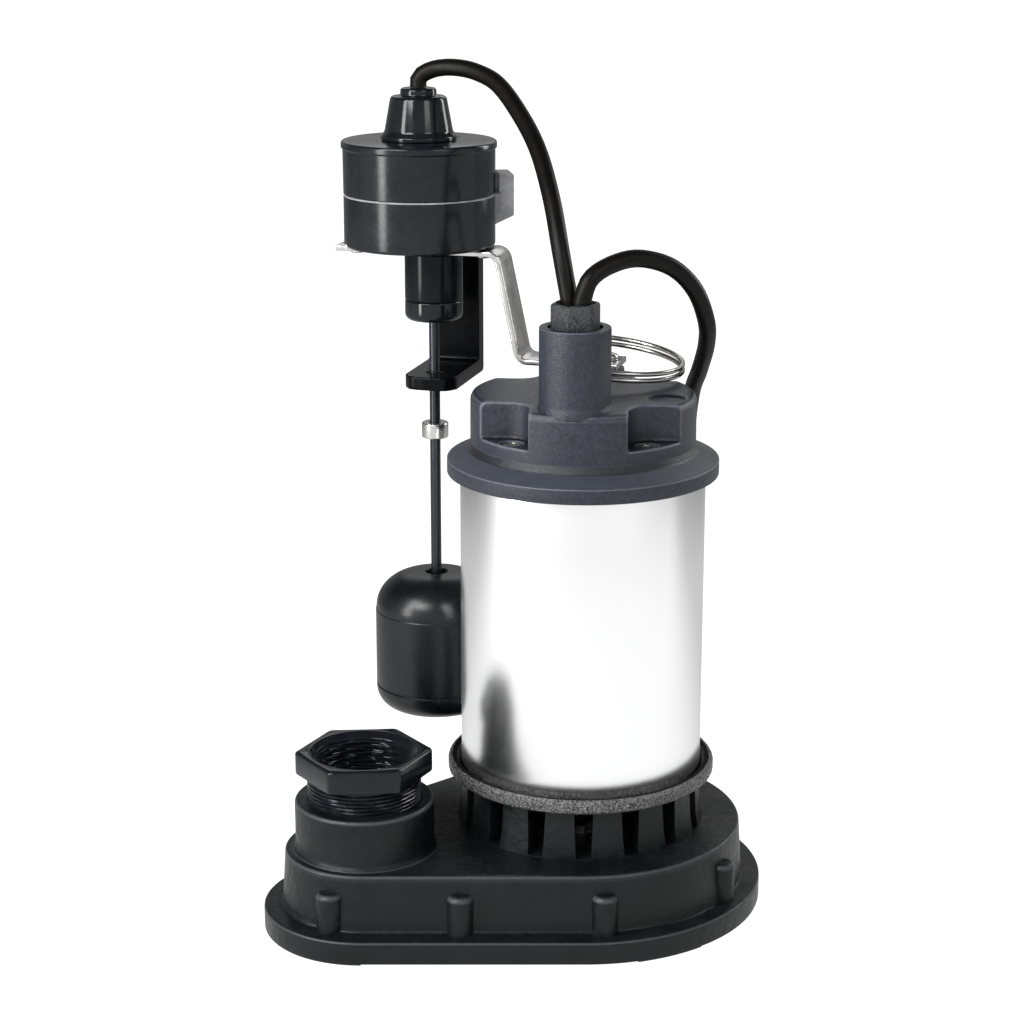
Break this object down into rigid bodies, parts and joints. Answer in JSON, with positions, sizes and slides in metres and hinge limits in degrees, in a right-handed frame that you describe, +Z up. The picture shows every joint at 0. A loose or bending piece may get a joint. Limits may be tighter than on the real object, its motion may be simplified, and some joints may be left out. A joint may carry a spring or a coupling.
{
  "type": "submersible sump pump",
  "caption": "Submersible sump pump: polished motor can on a cast volute base with a finned intake and a threaded side discharge, and a float on a rod that works a switch on a strap.",
  "frame": {"origin": "on the motor's axis, on the floor that the pump stands on", "axes": "+Z up along the motor's axis, -Y towards the front, the discharge to the left at -X"},
  "size_m": [0.2173, 0.318, 0.3622],
  "materials": {
    "cast_paint": "satin black paint on cast iron",
    "rough_iron": "rough dark casting",
    "polished_steel": "mirror polished stainless",
    "zinc_steel": "bright plated",
    "powder_coat": "dark powder coat",
    "gloss_plastic": "gloss black",
    "satin_plastic": "satin black",
    "float_plastic": "gloss black, moulded",
    "black_rod": "black coated",
    "cord_rubber": "satin cord jacket",
    "seal_rubber": "matte",
    "lamination": "ground steel",
    "copper": "enamelled copper wire",
    "brass": "plain"
  },
  "bodies": {
    "pump": {"volute_base": "cast_paint", "bottom_plate": "cast_paint", "plate_screw_1": "zinc_steel", "plate_screw_2": "zinc_steel", "plate_screw_3": "zinc_steel", "plate_screw_4": "zinc_steel", "plate_screw_5": "zinc_steel", "plate_screw_6": "zinc_steel", "discharge_bushing": "gloss_plastic", "motor_base_plate": "rough_iron", "shaft_seal": "seal_rubber", "motor_screw_1": "zinc_steel", "motor_screw_2": "zinc_steel", "motor_screw_3": "zinc_steel", "motor_can": "polished_steel", "lower_can_gasket": "seal_rubber", "upper_can_gasket": "seal_rubber", "lower_bearing": "lamination", "upper_bearing": "lamination", "stator_core": "lamination", "upper_winding": "copper", "lower_winding": "copper", "top_cover": "powder_coat", "cover_bolt_1": "zinc_steel", "cover_bolt_2": "zinc_steel", "cover_bolt_3": "zinc_steel", "cover_bolt_4": "zinc_steel", "gland_nut": "rough_iron", "gland_grommet": "seal_rubber", "mounting_strap": "zinc_steel", "strap_screw_1": "zinc_steel", "strap_screw_2": "zinc_steel", "housing_rivet_1": "zinc_steel", "housing_rivet_2": "zinc_steel", "switch_housing_lower": "satin_plastic", "switch_housing_upper": "satin_plastic", "reed_switch": "seal_rubber", "cord_boot": "gloss_plastic", "switch_tube": "gloss_plastic", "tube_end_cap": "gloss_plastic", "rod_guide": "satin_plastic", "switch_cord": "cord_rubber", "power_cord": "cord_rubber", "power_cord_coil": "cord_rubber", "plug_body": "cord_rubber", "plug_blade_left": "brass", "plug_blade_right": "brass", "plug_ground_pin": "brass"},
    "rotor": {"motor_shaft": "zinc_steel", "rotor_core": "lamination", "impeller": "satin_plastic"},
    "rod": {"float_rod": "black_rod", "rod_magnet": "lamination", "stop_collar": "zinc_steel", "collar_set_screw": "black_rod", "lower_stop": "seal_rubber"},
    "float": {"float": "float_plastic"},
    "ring": {"lifting_ring": "polished_steel"}
  },
  "joints": [
    {"name": "rotor_spin", "type": "hinge", "parent": "pump", "child": "rotor", "pos_m": [0, 0, 0.1], "axis": [0, 0, 1], "continuous": true},
    {"name": "rod_slide", "type": "slide", "parent": "pump", "child": "rod", "axis": [0, 0, 1], "range_m": [0, 0.015]},
    {"name": "float_slide", "type": "slide", "parent": "rod", "child": "float", "axis": [0, 0, 1], "range_m": [0, 0.06]},
    {"name": "ring_swing", "type": "hinge", "parent": "pump", "child": "ring", "pos_m": [0.005, 0.0014, 0.235], "axis": [1, 0, 0], "range_deg": [0, 90]}
  ]
}
